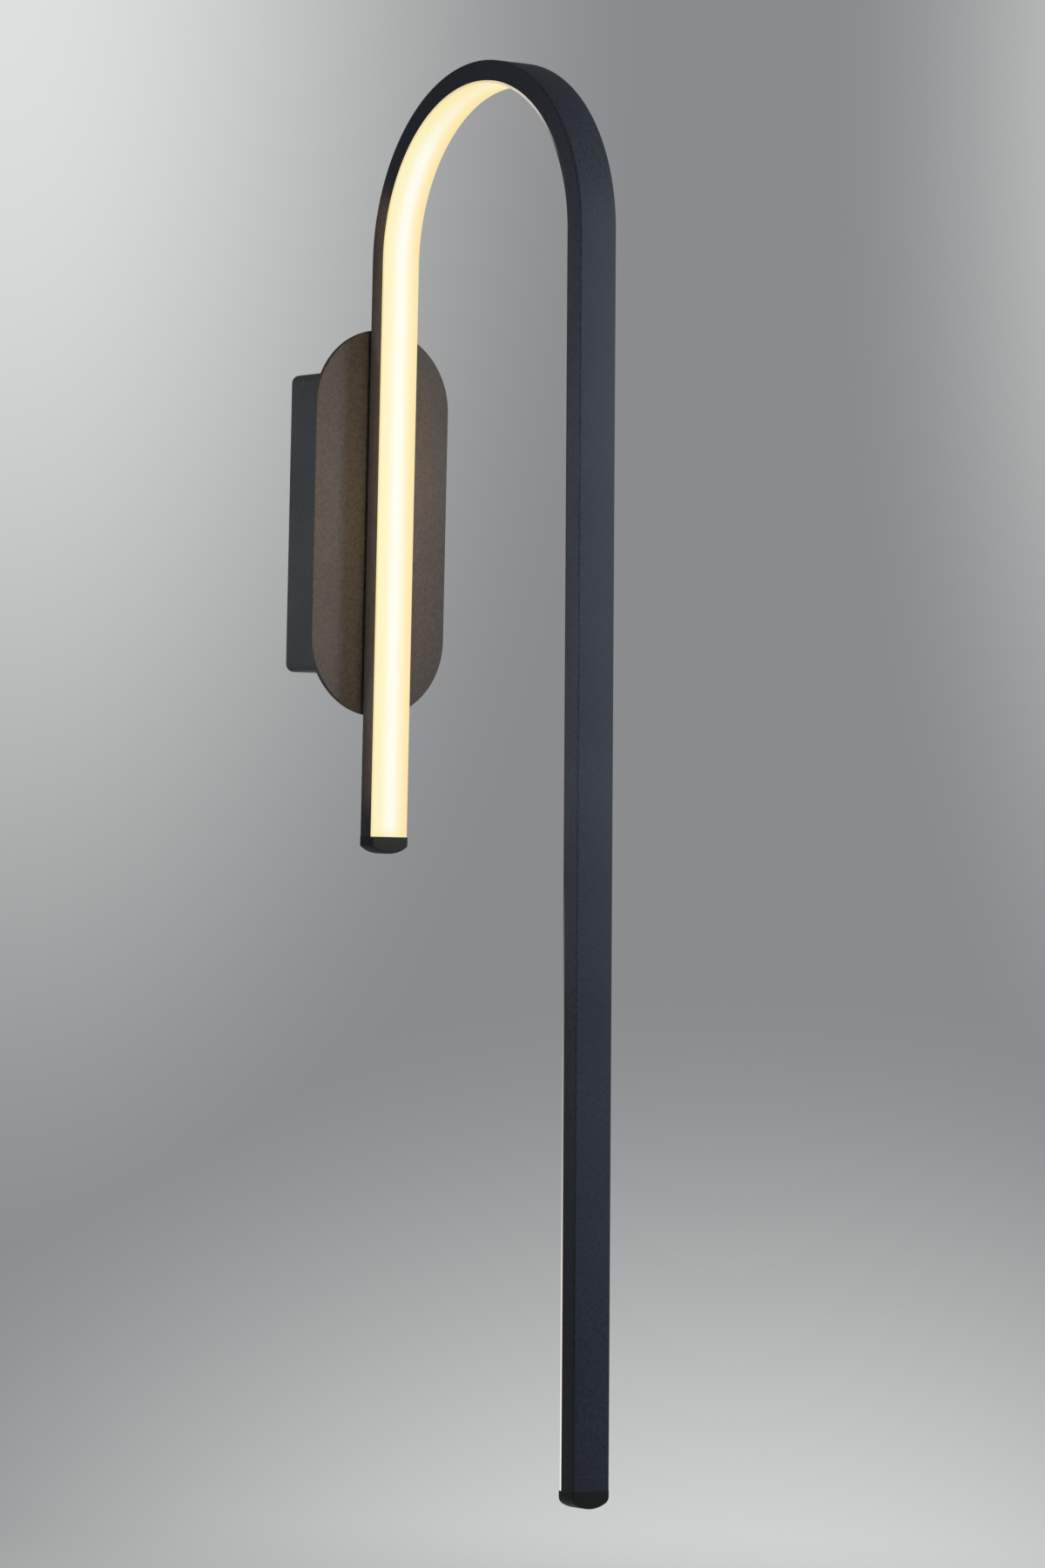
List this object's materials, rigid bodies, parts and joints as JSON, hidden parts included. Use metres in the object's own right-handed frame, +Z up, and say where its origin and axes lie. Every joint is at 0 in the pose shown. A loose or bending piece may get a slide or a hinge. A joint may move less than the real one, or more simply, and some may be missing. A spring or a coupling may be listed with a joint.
{
  "type": "led wall light",
  "caption": "Hook-shaped LED wall light: a bent aluminium channel with a lit opal lens inside the bend, fixed to an obround plate over a rectangular wall box.",
  "frame": {"origin": "on the wall plane, at the back of the wall box, midway between its two wall screw slots", "axes": "+Z up, +Y into the wall, so the light stands out towards -Y; the bend lies in the plane X = 0"},
  "size_m": [0.075, 0.233, 0.6608],
  "materials": {
    "coated_aluminium": "fine-textured black powder coat",
    "coated_steel": "fine-textured black powder coat",
    "opal_lens": "satin opal, lit from behind",
    "cap_plastic": "moulded, satin",
    "zinc_steel": "zinc plated",
    "black_screw": "black oxide",
    "strip_board": "white solder mask",
    "led_phosphor": "cast silicone",
    "solder": "bright",
    "grommet_rubber": "moulded",
    "sleeve_plastic": "extruded",
    "driver_plastic": "moulded",
    "circuit_board": "green solder mask",
    "terminal_plastic": "moulded, natural white",
    "terminal_brass": "turned",
    "supply_insulation": "extruded",
    "earth_insulation": "extruded",
    "led_insulation": "extruded"
  },
  "bodies": {
    "root": {"back_pan": "coated_steel", "cable_grommet": "grommet_rubber", "front_plate": "coated_steel", "cover_bracket": "zinc_steel", "cover_screws": "black_screw", "light_channel": "coated_aluminium", "light_diffuser": "opal_lens", "led_strip": "strip_board", "led_chips": "led_phosphor", "solder_joints": "solder", "short_leg_cap": "cap_plastic", "long_leg_cap": "cap_plastic", "standoff_spacers": "black_screw", "channel_screws": "zinc_steel", "channel_washers": "zinc_steel", "channel_nuts": "zinc_steel", "lead_sleeve": "sleeve_plastic", "driver_case": "driver_plastic", "driver_lid": "driver_plastic", "driver_board": "circuit_board", "driver_nuts": "zinc_steel", "terminal_block": "terminal_plastic", "terminal_inserts": "terminal_brass", "terminal_screws": "zinc_steel", "terminal_nut": "zinc_steel", "earth_tag": "terminal_brass", "earth_washer": "zinc_steel", "earth_nut": "zinc_steel", "supply_leads": "supply_insulation", "earth_lead": "earth_insulation", "led_leads": "led_insulation"}
  },
  "joints": []
}
